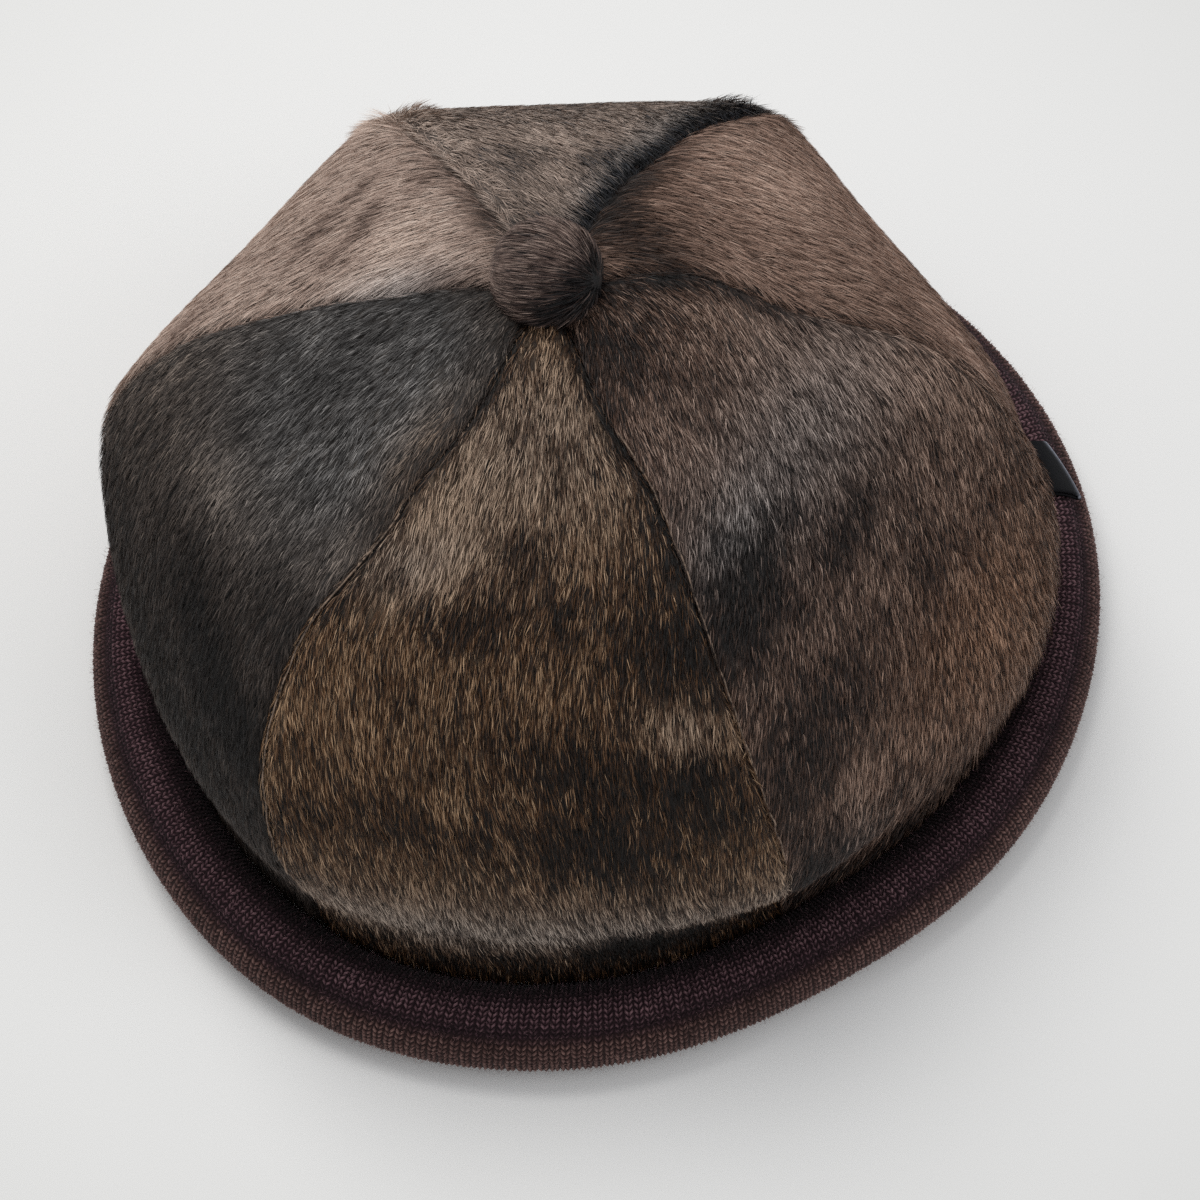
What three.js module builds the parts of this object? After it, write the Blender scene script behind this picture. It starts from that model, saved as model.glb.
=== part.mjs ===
// Docker cap: six gores of hair-on hide, a covered button, a rolled knit rim and a ribbon tab.
// Millimetres, +Z up. The cap rests on its rim at z = 0, centred on the rim, front towards -Y.
import * as THREE from "three";

const DEGREE = Math.PI / 180;
const GAP = 0.3;

// Rolled rim, seen from above: a slight oval whose long axis lies askew to the front.
const RIM_SHORT_RADIUS = 101.7;
const RIM_LONG_RADIUS = 107.6;
const RIM_LONG_AXIS = 47.5 * DEGREE;
const RIM_MEAN_RADIUS = (RIM_SHORT_RADIUS + RIM_LONG_RADIUS) / 2;

// Where the soft rim is pressed in or bulges out of the oval: bearing and half breadth in degrees,
// change in millimetres. The crown follows it at the hem, and not above the fullest height.
const RIM_BENDS = [
  { at: "front right", bearing: -64, halfBreadth: 22, change: -3.6 },
  { at: "front left", bearing: -122, halfBreadth: 22, change: 2.2 },
  { at: "right", bearing: 8, halfBreadth: 26, change: 1.2 },
];
const BEND_HOLD = { fullBelow: 18, noneAbove: 46 };

// Where the crown above its hem stands in or out of the round: bearings in degrees.
const CROWN_SWELLS = [
  { at: "right seam", bearing: 6, halfBreadth: 8, height: 60, halfHeight: 26, change: -4.5 },
  { at: "right front", bearing: -20, halfBreadth: 24, height: 40, halfHeight: 18, change: 3.5 },
];

// The roll's section: a circle pressed flat where it lies on the table.
const ROLL_RADIUS = 9;
const ROLL_FLAT_WIDTH = 7;
const ROLL_SIDES = 16;
const ROLL_STEPS = 84;
const ROLL_CENTRE_HEIGHT = Math.sqrt(ROLL_RADIUS ** 2 - (ROLL_FLAT_WIDTH / 2) ** 2);

// The crown's profile along a seam, from the top to the hem. Reach is the distance from the crown's
// axis on a rim of mean radius; the hem ends beside the roll, on its inner side.
const CROWN_PROFILE = [
  { at: "top", reach: 0, height: 122.6 },
  { at: "round the button", reach: 20.9, height: 122.0 },
  { at: "upper crown", reach: 47.7, height: 113.2 },
  { at: "shoulder", reach: 74.3, height: 98.1 },
  { at: "side", reach: 93.4, height: 78.0 },
  { at: "lower side", reach: 101.4, height: 57.0 },
  { at: "fullest", reach: 102.2, height: 43.5 },
  { at: "tuck", reach: 99.2, height: 32.0 },
  { at: "under the tuck", reach: 96.4, height: 22.0 },
  { at: "hem", reach: 95.6, height: 11.0 },
];

// The crown's top sits a little to the left of the rim's centre.
const LEAN = { x: -7.1, y: -1.2, fromHeight: 10, toHeight: 90 };

// Between its two seams a gore lies flatter than the round through the seams, but not at the hem.
const GORE_FLATTENING = { fromHeight: 12, toHeight: 80 };

// Seams, anticlockwise from the front left: the bearing in degrees at four stations of the profile.
const SEAM_STATIONS = { top: 0.14, upper: 0.28, shoulder: 0.46, hem: 0.8 };
const SEAMS = [
  { name: "front_left", top: -117.2, upper: -123.4, shoulder: -128.2, hem: -125.3 },
  { name: "front_right", top: -71.0, upper: -66.2, shoulder: -67.0, hem: -66.5 },
  { name: "right", top: 10.0, upper: 0.8, shoulder: 2.6, hem: 3.0 },
  { name: "back_right", top: 64.8, upper: 61.0, shoulder: 57.8, hem: 59.2 },
  { name: "back_left", top: 115.8, upper: 116.3, shoulder: 116.1, hem: 115.9 },
  { name: "left", top: 176.5, upper: 174.0, shoulder: 172.6, hem: 175.4 },
];

// Gores, each from the seam of the same row to the next seam: how flat it lies, as a share of the
// radius, and the hide's main colour.
const HIDE_THICKNESS = 2.6;
const GORE_TIP_RADIUS = 3;
const GORE_COLUMNS = 8;
const GORE_ROWS = 20;
const GORES = [
  { name: "gore_front", flatness: 0.1, colour: 0x574739 },
  { name: "gore_right_front", flatness: 0.1, colour: 0x574840 },
  { name: "gore_right_back", flatness: 0.135, colour: 0x735c50 },
  { name: "gore_back", flatness: 0.1, colour: 0x695c52 },
  { name: "gore_left_back", flatness: 0.1, colour: 0x968276 },
  { name: "gore_left_front", flatness: 0.1, colour: 0x3c3a3c },
];
const HIDE_ROUGHNESS = 0.7;

const BUTTON = { radius: 11.2, height: 12.5, squareness: 2.3, segments: 28, rows: 9 };
const BUTTON_FINISH = { color: 0x463a36, roughness: 0.7, metalness: 0 };
const KNIT_FINISH = { color: 0x322628, roughness: 0.95, metalness: 0 };

// Ribbon tab: two plies folded at the outer end, lying on the roll. Angles are round the roll's
// section, from straight out towards the top.
const TAB = {
  bearing: 12.8 * DEGREE,
  width: 16,
  ply: 0.7,
  plySpace: 0.4,
  rootAngle: 122 * DEGREE,
  upperRootAngle: 117 * DEGREE,
  foldAngle: 62 * DEGREE,
  curveSegments: 8,
};
const RIBBON_FINISH = { color: 0x16171b, roughness: 0.55, metalness: 0 };

// Radius of the rim's oval at a bearing.
function rimRadius(bearing) {
  const turned = bearing - RIM_LONG_AXIS;
  return 1 / Math.hypot(Math.cos(turned) / RIM_LONG_RADIUS, Math.sin(turned) / RIM_SHORT_RADIUS);
}

// How strongly a bend or a swell acts at a bearing.
function actsAt(bearing, { bearing: middle, halfBreadth }) {
  const apart = bearing - middle * DEGREE;
  const turn = Math.atan2(Math.sin(apart), Math.cos(apart));
  return Math.exp(-((turn / (halfBreadth * DEGREE)) ** 2));
}

// How far the rim departs from the oval at a bearing.
function rimBend(bearing) {
  return RIM_BENDS.reduce((change, bend) => change + bend.change * actsAt(bearing, bend), 0);
}

// How far the crown departs from the round at a bearing and a height.
function crownSwell(bearing, height) {
  let change = 0;
  for (const swell of CROWN_SWELLS) {
    const rise = (height - swell.height) / swell.halfHeight;
    change += swell.change * actsAt(bearing, swell) * Math.exp(-(rise ** 2));
  }
  return change;
}

// Radius of the roll's centre line at a bearing.
function rollPathRadius(bearing) {
  return rimRadius(bearing) + rimBend(bearing);
}

const profileCurve = new THREE.SplineCurve(
  CROWN_PROFILE.map(({ reach, height }) => new THREE.Vector2(reach, height)),
);
profileCurve.arcLengthDivisions = 400;

// Bearing of a seam at a share of the profile's length, smooth through its stations.
function seamBearing(seam, along) {
  const stations = Object.entries(SEAM_STATIONS);
  const times = stations.map(([, share]) => share);
  const bearings = stations.map(([station]) => seam[station]);
  const held = THREE.MathUtils.clamp(along, times[0], times.at(-1));
  const next = Math.max(1, times.findIndex((share) => share >= held));
  const [low, high] = [next - 1, next];
  const mix = THREE.MathUtils.smoothstep(held, times[low], times[high]);
  return THREE.MathUtils.lerp(bearings[low], bearings[high], mix) * DEGREE;
}

// A point of a gore: across from seam to seam, along from tip to hem, depth inwards from the hair side.
// The wall is offset in the seam's own plane, so that neighbours stay parallel at their seam.
function gorePoint(index, across, along, depth) {
  const { x: reach, y: height } = profileCurve.getPointAt(along);
  const tangent = profileCurve.getTangentAt(along);
  const { fromHeight, toHeight } = GORE_FLATTENING;
  const flattened = GORES[index].flatness * THREE.MathUtils.smoothstep(height, fromHeight, toHeight);
  const roundness = 1 - flattened * Math.sin(Math.PI * across);

  const isLast = index === SEAMS.length - 1;
  const start = seamBearing(SEAMS[index], along);
  const end = seamBearing(SEAMS[(index + 1) % SEAMS.length], along) + (isLast ? 2 * Math.PI : 0);
  const clearance = GAP / 2 / reach;
  const bearing = THREE.MathUtils.lerp(start + clearance, end - clearance, across);

  const scale = (rimRadius(bearing) / RIM_MEAN_RADIUS) * roundness;
  const hold = 1 - THREE.MathUtils.smoothstep(height, BEND_HOLD.fullBelow, BEND_HOLD.noneAbove);
  const swell = crownSwell(bearing, height) * (1 - hold);
  const radius = reach * scale + rimBend(bearing) * hold + swell + depth * tangent.y;
  const lean = THREE.MathUtils.smoothstep(height, LEAN.fromHeight, LEAN.toHeight);
  return new THREE.Vector3(
    LEAN.x * lean + radius * Math.cos(bearing),
    LEAN.y * lean + radius * Math.sin(bearing),
    height - depth * tangent.x,
  );
}

function meshGeometry(points, triangles) {
  const geometry = new THREE.BufferGeometry().setFromPoints(points);
  geometry.setIndex(triangles.flat());
  geometry.computeVertexNormals();
  return geometry;
}

// The two triangles of a four-cornered face, anticlockwise from outside.
function quad(a, b, c, d) {
  return [[a, b, c], [a, c, d]];
}

// One gore: a closed wall with a hair side, a flesh side, two seam edges, a tip and a hem.
function goreGeometry(index) {
  const tip = GORE_TIP_RADIUS / profileCurve.getLength();
  const points = [];
  for (const depth of [0, HIDE_THICKNESS]) {
    for (let row = 0; row <= GORE_ROWS; row += 1) {
      const along = THREE.MathUtils.lerp(tip, 1, row / GORE_ROWS);
      for (let column = 0; column <= GORE_COLUMNS; column += 1) {
        points.push(gorePoint(index, column / GORE_COLUMNS, along, depth));
      }
    }
  }
  const layerSize = points.length / 2;
  const outer = (row, column) => row * (GORE_COLUMNS + 1) + column;
  const inner = (row, column) => layerSize + outer(row, column);

  const triangles = [];
  for (let row = 0; row < GORE_ROWS; row += 1) {
    for (let column = 0; column < GORE_COLUMNS; column += 1) {
      const [down, right] = [row + 1, column + 1];
      triangles.push(...quad(outer(row, column), outer(down, column), outer(down, right), outer(row, right)));
      triangles.push(...quad(inner(row, column), inner(row, right), inner(down, right), inner(down, column)));
    }
    const down = row + 1;
    const last = GORE_COLUMNS;
    triangles.push(...quad(outer(row, 0), inner(row, 0), inner(down, 0), outer(down, 0)));
    triangles.push(...quad(outer(down, last), inner(down, last), inner(row, last), outer(row, last)));
  }
  for (let column = 0; column < GORE_COLUMNS; column += 1) {
    const right = column + 1;
    const hem = GORE_ROWS;
    triangles.push(...quad(outer(0, right), inner(0, right), inner(0, column), outer(0, column)));
    triangles.push(...quad(outer(hem, column), inner(hem, column), inner(hem, right), outer(hem, right)));
  }
  return meshGeometry(points, triangles);
}

// The rim: the flattened section carried round the bent oval.
function rollGeometry() {
  const flatHalfAngle = Math.asin(ROLL_FLAT_WIDTH / 2 / ROLL_RADIUS);
  const firstAngle = -Math.PI / 2 + flatHalfAngle;
  const lastAngle = (3 * Math.PI) / 2 - flatHalfAngle;
  const points = [];
  for (let step = 0; step < ROLL_STEPS; step += 1) {
    const bearing = (step / ROLL_STEPS) * 2 * Math.PI;
    for (let side = 0; side < ROLL_SIDES; side += 1) {
      const angle = THREE.MathUtils.lerp(firstAngle, lastAngle, side / (ROLL_SIDES - 1));
      const onTable = side === 0 || side === ROLL_SIDES - 1;
      const radius = rollPathRadius(bearing) + ROLL_RADIUS * Math.cos(angle);
      const height = onTable ? 0 : ROLL_CENTRE_HEIGHT + ROLL_RADIUS * Math.sin(angle);
      points.push(new THREE.Vector3(radius * Math.cos(bearing), radius * Math.sin(bearing), height));
    }
  }
  const vertex = (step, side) => (step % ROLL_STEPS) * ROLL_SIDES + (side % ROLL_SIDES);
  const triangles = [];
  for (let step = 0; step < ROLL_STEPS; step += 1) {
    for (let side = 0; side < ROLL_SIDES; side += 1) {
      const [next, up] = [step + 1, side + 1];
      triangles.push(...quad(vertex(step, side), vertex(next, side), vertex(next, up), vertex(step, up)));
    }
  }
  return meshGeometry(points, triangles);
}

// The button: a full, slightly squared dome on a flat base, turned about its own axis.
function buttonGeometry() {
  const { radius, height, squareness, segments, rows } = BUTTON;
  const profile = [new THREE.Vector2(0, 0)];
  for (let row = 0; row < rows; row += 1) {
    const angle = (row / rows) * (Math.PI / 2);
    const reach = radius * Math.cos(angle) ** (2 / squareness);
    const rise = height * Math.sin(angle) ** (2 / squareness);
    profile.push(new THREE.Vector2(reach, rise));
  }
  profile.push(new THREE.Vector2(0, height));
  return new THREE.LatheGeometry(profile, segments).rotateX(Math.PI / 2);
}

// The tab's folded section, drawn round the roll's centre, with the ribbon's width as its depth.
function tabGeometry() {
  const { ply, plySpace, rootAngle, upperRootAngle, foldAngle, width, curveSegments } = TAB;
  const lowerInside = ROLL_RADIUS + GAP;
  const lowerOutside = lowerInside + ply;
  const upperInside = lowerOutside + plySpace;
  const upperOutside = upperInside + ply;
  const foldRadius = (lowerOutside + upperInside) / 2;
  const foldX = foldRadius * Math.cos(foldAngle);
  const foldY = foldRadius * Math.sin(foldAngle);

  const section = new THREE.Shape();
  section.absarc(0, 0, lowerInside, rootAngle, foldAngle, true);
  section.absarc(foldX, foldY, ply + plySpace / 2, foldAngle - Math.PI, foldAngle, false);
  section.absarc(0, 0, upperOutside, foldAngle, upperRootAngle, false);
  section.absarc(0, 0, upperInside, upperRootAngle, foldAngle, true);
  section.absarc(foldX, foldY, plySpace / 2, foldAngle, foldAngle - Math.PI, true);
  section.absarc(0, 0, lowerOutside, foldAngle, rootAngle, false);
  return new THREE.ExtrudeGeometry(section, { depth: width, bevelEnabled: false, curveSegments });
}

function namedMesh(name, geometry, finish) {
  const mesh = new THREE.Mesh(geometry, new THREE.MeshStandardMaterial(finish));
  mesh.name = name;
  return mesh;
}

const cap = new THREE.Group();

GORES.forEach(({ name, colour }, index) => {
  const finish = { color: colour, roughness: HIDE_ROUGHNESS, metalness: 0 };
  cap.add(namedMesh(name, goreGeometry(index), finish));
});

const button = namedMesh("top_button", buttonGeometry(), BUTTON_FINISH);
button.position.set(LEAN.x, LEAN.y, CROWN_PROFILE[0].height + GAP);
cap.add(button);

cap.add(namedMesh("knit_roll", rollGeometry(), KNIT_FINISH));

// The tab's section stands upright in the plane through the cap's axis at the tab's bearing.
const tab = namedMesh("side_tab", tabGeometry(), RIBBON_FINISH);
tab.rotation.x = Math.PI / 2;
tab.position.set(rollPathRadius(TAB.bearing), TAB.width / 2, ROLL_CENTRE_HEIGHT);
const tabPlace = new THREE.Group();
tabPlace.rotation.z = TAB.bearing;
tabPlace.add(tab);
cap.add(tabPlace);

export default cap;
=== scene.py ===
"""Looks of a docker cap: hair-on hide gores, a covered button, a rolled knit rim and a ribbon tab."""
import itertools
import math

import bpy
import numpy as np
from mathutils import Matrix, Vector


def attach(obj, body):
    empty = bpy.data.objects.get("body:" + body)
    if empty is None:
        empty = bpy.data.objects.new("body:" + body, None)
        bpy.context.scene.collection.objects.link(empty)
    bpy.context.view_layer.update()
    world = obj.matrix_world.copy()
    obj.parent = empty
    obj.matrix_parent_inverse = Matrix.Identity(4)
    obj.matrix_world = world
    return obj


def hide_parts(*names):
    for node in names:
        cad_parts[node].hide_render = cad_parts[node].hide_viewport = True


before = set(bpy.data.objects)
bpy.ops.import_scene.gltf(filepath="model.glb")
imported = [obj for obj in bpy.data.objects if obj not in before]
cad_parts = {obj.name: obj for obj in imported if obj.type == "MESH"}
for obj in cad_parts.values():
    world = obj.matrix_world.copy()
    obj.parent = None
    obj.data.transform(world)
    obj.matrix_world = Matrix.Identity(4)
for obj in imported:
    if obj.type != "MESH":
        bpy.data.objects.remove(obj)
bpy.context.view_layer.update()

# Shapes are worked out in millimetres, as the solids are, and made in metres.
MM = 0.001
# Step in shares or radians over which slopes are taken.
SLOPE_STEP = 1e-4

# Rolled rim: a slight oval whose long axis lies askew to the front.
RIM_SHORT_RADIUS = 101.7
RIM_LONG_RADIUS = 107.6
RIM_LONG_AXIS = math.radians(47.5)
RIM_MEAN_RADIUS = (RIM_SHORT_RADIUS + RIM_LONG_RADIUS) / 2
# Where the rim is pressed in or bulges out: bearing and half breadth in degrees, change in mm.
RIM_BENDS = ((-64, 22, -3.6), (-122, 22, 2.2), (8, 26, 1.2))
# Heights between which the rim's bends die out on the crown.
BEND_HOLD = {"full_below": 18.0, "none_above": 46.0}
# Where the crown above its hem stands in or out: bearing, half breadth, height, half height, change.
CROWN_SWELLS = ((6, 8, 60, 26, -4.5), (-20, 24, 40, 18, 3.5))
ROLL_RADIUS = 9.0
ROLL_FLAT_WIDTH = 7.0
ROLL_CENTRE_HEIGHT = math.sqrt(ROLL_RADIUS**2 - (ROLL_FLAT_WIDTH / 2) ** 2)

# Crown profile along a seam, from the top to the hem: reach from the axis, height above the table.
CROWN_PROFILE = (
    (0.0, 122.6),
    (20.9, 122.0),
    (47.7, 113.2),
    (74.3, 98.1),
    (93.4, 78.0),
    (101.4, 57.0),
    (102.2, 43.5),
    (99.2, 32.0),
    (96.4, 22.0),
    (95.6, 11.0),
)
# The crown's shift from the rim's middle, which grows between two heights.
LEAN = {"x": -7.1, "y": -1.2, "from": 10.0, "to": 90.0}
# How much flatter than the round each gore is at its middle, growing between two heights.
GORE_FLATTENING = {"shares": (0.1, 0.1, 0.135, 0.1, 0.1, 0.1), "from": 12.0, "to": 80.0}
GORE_TIP_RADIUS = 3.0
SEAM_GAP = 0.3

# Seams, anticlockwise from the front left: bearing in degrees at four shares of the profile's length.
SEAM_STATIONS = (0.14, 0.28, 0.46, 0.8)
SEAMS = (
    ("front_left", (-117.2, -123.4, -128.2, -125.3)),
    ("front_right", (-71.0, -66.2, -67.0, -66.5)),
    ("right", (10.0, 0.8, 2.6, 3.0)),
    ("back_right", (64.8, 61.0, 57.8, 59.2)),
    ("back_left", (115.8, 116.3, 116.1, 115.9)),
    ("left", (176.5, 174.0, 172.6, 175.4)),
)

# Depths under the outer face of the solid wall: of the hair bed, which the lying hair fills up to that
# face, and of the hide's inner face.
HAIR_BED_DEPTH = 1.3
HIDE_INNER_DEPTH = 3.0
SEAM_VALLEY = {"depth": 1.0, "width": 1.4}
HEM_SEWN = {"from": 0.86, "to": 0.98, "depth": 0.1}
GORE_GRID = {"columns": 24, "rows": 44}

# Button dome: its section is a round one at a squareness of 2, and fuller above that.
BUTTON = {"radius": 11.2, "height": 12.5, "squareness": 2.3}
BUTTON_BASE = CROWN_PROFILE[0][1] + SEAM_GAP

# Camera: target and distance in mm, lens in pixels of a square image.
CAMERA = {
    "target": (0.9, -21.5, 40.0),
    "distance": 552.2,
    "elevation": math.radians(58.34),
    "roll": math.radians(-1.74),
    "focal_pixels": 2600.0,
    "image_pixels": 1200.0,
    "sensor": 36.0,
}

# Seeds of the random draws, and first seeds of the fixed noises.
DRAW_SEEDS = {"hair": 100, "hide": 200, "button": 300, "stitches": 400, "fuzz": 500}
NOISE_SEEDS = {"mottle": 11, "nap": 21, "lock": 31, "button": 41, "knit": 51, "seam_edge": 61}


def smoothstep(value, low, high):
    share = np.clip((value - low) / (high - low), 0, 1)
    return share * share * (3 - 2 * share)


def bell(away, half_width):
    """1 at no distance, falling off smoothly over a half width."""
    return np.exp(-((away / half_width) ** 2))


def unit(vectors):
    return vectors / np.linalg.norm(vectors, axis=-1, keepdims=True)


def laid_down(vectors, normal):
    """Directions of vectors once they are laid into the plane across a normal."""
    return unit(vectors - (vectors * normal).sum(axis=-1, keepdims=True) * normal)


def spline_through(points, steps=200):
    """Smooth curve through the rows of a table."""
    rows = np.asarray(points, float)
    padded = np.vstack([rows[:1], rows, rows[-1:]])
    share = np.linspace(0, 1, steps, endpoint=False)[:, None]
    spans = []
    for before, start, end, after in zip(padded, padded[1:], padded[2:], padded[3:]):
        leave = (end - before) / 2
        arrive = (after - start) / 2
        cubic = 2 * start - 2 * end + leave + arrive
        square = 3 * end - 3 * start - 2 * leave - arrive
        spans.append(((cubic * share + square) * share + leave) * share + start)
    return np.vstack([*spans, rows[-1:]])


profile_points = spline_through(CROWN_PROFILE)
profile_steps = np.linalg.norm(np.diff(profile_points, axis=0), axis=1)
profile_run = np.concatenate([[0], np.cumsum(profile_steps)])
PROFILE_LENGTH = profile_run[-1]
profile_share = profile_run / PROFILE_LENGTH
profile_tangent = unit(np.gradient(profile_points, profile_run, axis=0))


def profile_at(along):
    """Reach, height and tangent of the crown's profile at shares of its length."""
    columns = np.hstack([profile_points, profile_tangent])
    return [np.interp(along, profile_share, column) for column in columns.T]


def rim_radius(bearing):
    turned = bearing - RIM_LONG_AXIS
    return 1 / np.hypot(np.cos(turned) / RIM_LONG_RADIUS, np.sin(turned) / RIM_SHORT_RADIUS)


def acts_at(bearing, middle, half_breadth):
    """How strongly a bend or a swell acts at a bearing."""
    apart = bearing - math.radians(middle)
    turn = np.arctan2(np.sin(apart), np.cos(apart))
    return bell(turn, math.radians(half_breadth))


def rim_bend(bearing):
    """How far the rim departs from the oval at a bearing."""
    return sum(change * acts_at(bearing, middle, half_breadth) for middle, half_breadth, change in RIM_BENDS)


def crown_swell(bearing, height):
    """How far the crown departs from the round at a bearing and a height."""
    total = 0.0
    for middle, half_breadth, level, half_height, change in CROWN_SWELLS:
        at_level = bell(height - level, half_height)
        total = total + change * acts_at(bearing, middle, half_breadth) * at_level
    return total


def roll_path_radius(bearing):
    return rim_radius(bearing) + rim_bend(bearing)


def seam_bearing(index, along):
    """Bearing of a seam, smooth through its stations; counts on past the last seam."""
    turns, row = divmod(index, len(SEAMS))
    stations = np.array(SEAM_STATIONS)
    bearings = np.radians(SEAMS[row][1])
    held = np.clip(along, stations[0], stations[-1])
    high = np.clip(np.searchsorted(stations, held), 1, len(stations) - 1)
    mix = smoothstep(held, stations[high - 1], stations[high])
    return bearings[high - 1] * (1 - mix) + bearings[high] * mix + turns * 2 * math.pi


def gore_width(index, along):
    """Distance between a gore's two seams at a share of the profile."""
    reach = profile_at(along)[0]
    return reach * (seam_bearing(index + 1, along) - seam_bearing(index, along))


def gore_point(index, across, along, depth):
    """Points of a gore: across from seam to seam, along from tip to hem, depth below the outer face."""
    reach, height, out, down = profile_at(along)
    share = GORE_FLATTENING["shares"][index]
    flattened = share * smoothstep(height, GORE_FLATTENING["from"], GORE_FLATTENING["to"])
    roundness = 1 - flattened * np.sin(math.pi * across)
    clearance = SEAM_GAP / 2 / reach
    start = seam_bearing(index, along) + clearance
    end = seam_bearing(index + 1, along) - clearance
    bearing = start + (end - start) * across
    hold = 1 - smoothstep(height, BEND_HOLD["full_below"], BEND_HOLD["none_above"])
    radius = reach * rim_radius(bearing) / RIM_MEAN_RADIUS * roundness + depth * down
    radius = radius + rim_bend(bearing) * hold + crown_swell(bearing, height) * (1 - hold)
    lean = smoothstep(height, LEAN["from"], LEAN["to"])
    x = LEAN["x"] * lean + radius * np.cos(bearing)
    y = LEAN["y"] * lean + radius * np.sin(bearing)
    return np.stack([x, y, height - depth * out], axis=-1)


def bed_depth(index, across, along):
    """Depth of the hide under the hair's tips: a valley at the seams, and none at the sewn hem."""
    from_seam = np.minimum(across, 1 - across) * gore_width(index, along)
    valley = SEAM_VALLEY["depth"] * bell(from_seam, SEAM_VALLEY["width"])
    sewn = smoothstep(along, HEM_SEWN["from"], HEM_SEWN["to"])
    return (HAIR_BED_DEPTH + valley) * (1 - sewn) + HEM_SEWN["depth"] * sewn


def bed_point(index, across, along):
    return gore_point(index, across, along, bed_depth(index, across, along))


def lattice_noise(cells, seed):
    """A fixed value from -1 to 1 for each whole-number cell."""
    keys = np.array([73856093, 19349663, 83492791], np.uint64)
    mixed = (cells.astype(np.int64).astype(np.uint64) * keys).sum(axis=-1) + np.uint64(seed * 2654435761)
    mixed = (mixed ^ (mixed >> np.uint64(13))) * np.uint64(0x9E3779B97F4A7C15)
    mixed = mixed ^ (mixed >> np.uint64(29))
    return (mixed % np.uint64(65536)).astype(float) / 32768 - 1


def soft_noise(points, size, seed):
    """Smooth noise from -1 to 1 at rows of points, in cells of a size (one number or three)."""
    scaled = points / np.asarray(size, float)
    cell = np.floor(scaled)
    share = scaled - cell
    share = share * share * (3 - 2 * share)
    total = np.zeros(len(points))
    for corner in itertools.product((0, 1), repeat=3):
        weight = np.prod(np.where(np.array(corner) == 1, share, 1 - share), axis=1)
        total += weight * lattice_noise(cell + corner, seed)
    return total


# Meshes
# Margin of a cell in the bake layouts, as a share of the cell.
CELL_MARGIN = 0.2


def make_object(name, points, faces, material, smooth=True):
    mesh = bpy.data.meshes.new(name)
    mesh.from_pydata(np.asarray(points) * MM, [], faces)
    mesh.polygons.foreach_set("use_smooth", np.full(len(mesh.polygons), smooth))
    mesh.materials.append(material)
    mesh.update()
    obj = bpy.data.objects.new(name, mesh)
    bpy.context.scene.collection.objects.link(obj)
    return obj


def set_attribute(obj, name, domain, values):
    layer = obj.data.attributes.new(name, "FLOAT", domain)
    layer.data.foreach_set("value", np.asarray(values, np.float32).ravel())


def cell_layout(obj, corners):
    """Bake layout in which each face has a small cell of its own."""
    count = len(obj.data.polygons)
    side = math.ceil(math.sqrt(count))
    numbers = np.arange(count)
    cell = np.stack([numbers % side, numbers // side], axis=-1)[:, None, :]
    inset = CELL_MARGIN + (1 - 2 * CELL_MARGIN) * np.asarray(corners, float)
    layer = obj.data.uv_layers.new(name="OFBake")
    layer.data.foreach_set("uv", ((cell + inset) / side).astype(np.float32).ravel())


def cell_layout_by_island(obj, island_points):
    """Bake layout in which each island of points has one cell, its last point in the middle."""
    mesh = obj.data
    corner_points = np.zeros(len(mesh.loops), int)
    mesh.loops.foreach_get("vertex_index", corner_points)
    island, corner = np.divmod(corner_points, island_points)
    side = math.ceil(math.sqrt(len(mesh.vertices) / island_points))
    low, high = CELL_MARGIN, 1 - CELL_MARGIN
    spots = np.array(((low, low), (high, low), (high, high), (low, high), (0.5, 0.5)))
    cell = np.stack([island % side, island // side], axis=-1)
    layer = mesh.uv_layers.new(name="OFBake")
    layer.data.foreach_set("uv", ((cell + spots[corner]) / side).astype(np.float32).ravel())


def grid_faces(rows, columns, close_rows=False, close_columns=False):
    """Four-cornered faces of a grid of points that is stored row by row."""
    down = np.arange(rows if close_rows else rows - 1)
    right = np.arange(columns if close_columns else columns - 1)
    row, column = np.meshgrid(down, right, indexing="ij")
    next_row = (row + 1) % rows
    next_column = (column + 1) % columns
    corners = [(row, column), (next_row, column), (next_row, next_column), (row, next_column)]
    return np.stack([r * columns + c for r, c in corners], axis=-1).reshape(-1, 4)


def wall_mesh(name, outer, inner, material):
    """Closed wall between two grids of points of the same size."""
    rows, columns = outer.shape[:2]
    size = rows * columns
    number = np.arange(size).reshape(rows, columns)
    front = grid_faces(rows, columns)
    back = front[:, ::-1] + size
    rim = np.concatenate([number[:, 0], number[-1, 1:], number[-2::-1, -1], number[0, -2:0:-1]])
    following = np.roll(rim, -1)
    edge = np.stack([rim, rim + size, following + size, following], axis=-1)
    points = np.concatenate([outer.reshape(-1, 3), inner.reshape(-1, 3)])
    return make_object(name, points, np.concatenate([front, back, edge]), material)


# Materials


class Shade:
    """A socket of a finish. Arithmetic on it adds Math nodes."""

    def __init__(self, finish, socket):
        self.finish = finish
        self.socket = socket

    def maths(self, operation, *values):
        return self.finish.node("ShaderNodeMath", {"operation": operation}, dict(enumerate(values)))

    def __add__(self, other):
        return self.maths("ADD", self, other)

    def __radd__(self, other):
        return self.maths("ADD", other, self)

    def __sub__(self, other):
        return self.maths("SUBTRACT", self, other)

    def __rsub__(self, other):
        return self.maths("SUBTRACT", other, self)

    def __mul__(self, other):
        return self.maths("MULTIPLY", self, other)

    def __rmul__(self, other):
        return self.maths("MULTIPLY", other, self)

    def clamped(self):
        return self.finish.node("ShaderNodeClamp", {}, {"Value": self})


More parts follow.
